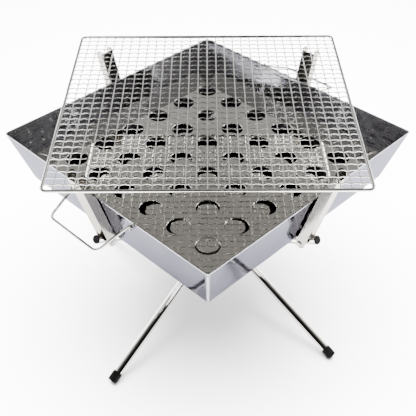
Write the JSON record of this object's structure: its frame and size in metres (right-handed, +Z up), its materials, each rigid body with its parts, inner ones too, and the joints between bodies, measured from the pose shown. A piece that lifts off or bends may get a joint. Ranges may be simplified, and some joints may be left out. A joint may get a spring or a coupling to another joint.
{
  "type": "folding camp grill",
  "caption": "Square steel fire tray with a perforated charcoal grate and bail handles, on a folding stand of crossed tubes with hinged uprights, under a wire cooking net.",
  "frame": {"origin": "on the ground, under the centre of the tray", "axes": "+Z up; the cooking net's sides lie along X and Y; the tray is turned 45 degrees, with a corner towards -Y"},
  "size_m": [0.5258, 0.5258, 0.343],
  "materials": {
    "mirror_steel": "mirror polished stainless sheet",
    "grate_steel": "plain bright stainless sheet",
    "chromed_steel": "bright plated tube",
    "bracket_steel": "pressed stainless sheet",
    "wire_steel": "bright drawn wire",
    "pin_steel": "plain steel",
    "black_rubber": "matt moulded",
    "black_plastic": "satin moulded"
  },
  "bodies": {
    "stand_base": {"stand_hub": "bracket_steel", "hub_pin_front_left": "pin_steel", "hub_pin_front_right": "pin_steel", "hub_pin_rear_right": "pin_steel", "hub_pin_rear_left": "pin_steel"},
    "tray_body": {"fire_tray": "mirror_steel", "handle_lug_front_left_left": "bracket_steel", "handle_lug_front_left_right": "bracket_steel", "handle_lug_rear_right_left": "bracket_steel", "handle_lug_rear_right_right": "bracket_steel"},
    "grate_body": {"charcoal_grate": "grate_steel"},
    "net_body": {"net_frame": "wire_steel", "net_mesh": "wire_steel"},
    "leg_front_left": {"leg_tube_front_left": "chromed_steel", "foot_cap_front_left": "black_rubber", "end_plug_front_left": "black_plastic"},
    "leg_front_right": {"leg_tube_front_right": "chromed_steel", "foot_cap_front_right": "black_rubber", "end_plug_front_right": "black_plastic"},
    "leg_rear_right": {"leg_tube_rear_right": "chromed_steel", "foot_cap_rear_right": "black_rubber", "end_plug_rear_right": "black_plastic"},
    "leg_rear_left": {"leg_tube_rear_left": "chromed_steel", "foot_cap_rear_left": "black_rubber", "end_plug_rear_left": "black_plastic"},
    "upright_body_front_left": {"upright_front_left": "bracket_steel", "upright_pin_front_left": "pin_steel"},
    "upright_body_front_right": {"upright_front_right": "bracket_steel", "upright_pin_front_right": "pin_steel"},
    "upright_body_rear_right": {"upright_rear_right": "bracket_steel", "upright_pin_rear_right": "pin_steel"},
    "upright_body_rear_left": {"upright_rear_left": "bracket_steel", "upright_pin_rear_left": "pin_steel"},
    "handle_body_front_left": {"handle_front_left": "wire_steel"},
    "handle_body_rear_right": {"handle_rear_right": "wire_steel"}
  },
  "joints": [
    {"name": "tray_lift", "type": "slide", "parent": "stand_base", "child": "tray_body", "axis": [0, 0, 1], "range_m": [0, 0.6]},
    {"name": "grate_lift", "type": "slide", "parent": "tray_body", "child": "grate_body", "axis": [0, 0, 1], "range_m": [0, 0.07]},
    {"name": "net_lift", "type": "slide", "parent": "tray_body", "child": "net_body", "axis": [0, 0, 1], "range_m": [0, 0.15]},
    {"name": "leg_fold_front_left", "type": "hinge", "parent": "stand_base", "child": "leg_front_left", "pos_m": [-0.0113, 0.00986, 0.12511], "axis": [-0.7533, 0.6576, 0], "range_deg": [0, 20]},
    {"name": "leg_fold_front_right", "type": "hinge", "parent": "stand_base", "child": "leg_front_right", "pos_m": [-0.00986, -0.0113, 0.12511], "axis": [-0.6576, -0.7533, 0], "range_deg": [0, 20]},
    {"name": "leg_fold_rear_right", "type": "hinge", "parent": "stand_base", "child": "leg_rear_right", "pos_m": [0.0113, -0.00986, 0.12511], "axis": [0.7533, -0.6576, 0], "range_deg": [0, 20]},
    {"name": "leg_fold_rear_left", "type": "hinge", "parent": "stand_base", "child": "leg_rear_left", "pos_m": [0.00986, 0.0113, 0.12511], "axis": [0.6576, 0.7533, 0], "range_deg": [0, 20]},
    {"name": "upright_fold_front_left", "type": "hinge", "parent": "leg_front_left", "child": "upright_body_front_left", "pos_m": [-0.12362, -0.1188, 0.2186], "axis": [-0.7533, 0.6576, 0], "range_deg": [0, 30]},
    {"name": "upright_fold_front_right", "type": "hinge", "parent": "leg_front_right", "child": "upright_body_front_right", "pos_m": [0.1188, -0.12362, 0.2186], "axis": [-0.6576, -0.7533, 0], "range_deg": [0, 30]},
    {"name": "upright_fold_rear_right", "type": "hinge", "parent": "leg_rear_right", "child": "upright_body_rear_right", "pos_m": [0.12362, 0.1188, 0.2186], "axis": [0.7533, -0.6576, 0], "range_deg": [0, 30]},
    {"name": "upright_fold_rear_left", "type": "hinge", "parent": "leg_rear_left", "child": "upright_body_rear_left", "pos_m": [-0.1188, 0.12362, 0.2186], "axis": [0.6576, 0.7533, 0], "range_deg": [0, 30]},
    {"name": "handle_swing_front_left", "type": "hinge", "parent": "tray_body", "child": "handle_body_front_left", "pos_m": [-0.12351, -0.14473, 0.2919], "axis": [-0.7071, 0.7071, 0], "range_deg": [0, 70]},
    {"name": "handle_swing_rear_right", "type": "hinge", "parent": "tray_body", "child": "handle_body_rear_right", "pos_m": [0.12351, 0.14473, 0.2919], "axis": [0.7071, -0.7071, 0], "range_deg": [0, 70]}
  ],
  "couplings": [
    {"joint": "leg_fold_front_left", "follows": "tray_lift", "rad_per_m": 0.5817},
    {"joint": "leg_fold_front_right", "follows": "tray_lift", "rad_per_m": 0.5817},
    {"joint": "leg_fold_rear_right", "follows": "tray_lift", "rad_per_m": 0.5817},
    {"joint": "leg_fold_rear_left", "follows": "tray_lift", "rad_per_m": 0.5817},
    {"joint": "upright_fold_front_left", "follows": "tray_lift", "rad_per_m": 0.8726},
    {"joint": "upright_fold_front_right", "follows": "tray_lift", "rad_per_m": 0.8726},
    {"joint": "upright_fold_rear_right", "follows": "tray_lift", "rad_per_m": 0.8726},
    {"joint": "upright_fold_rear_left", "follows": "tray_lift", "rad_per_m": 0.8726}
  ]
}
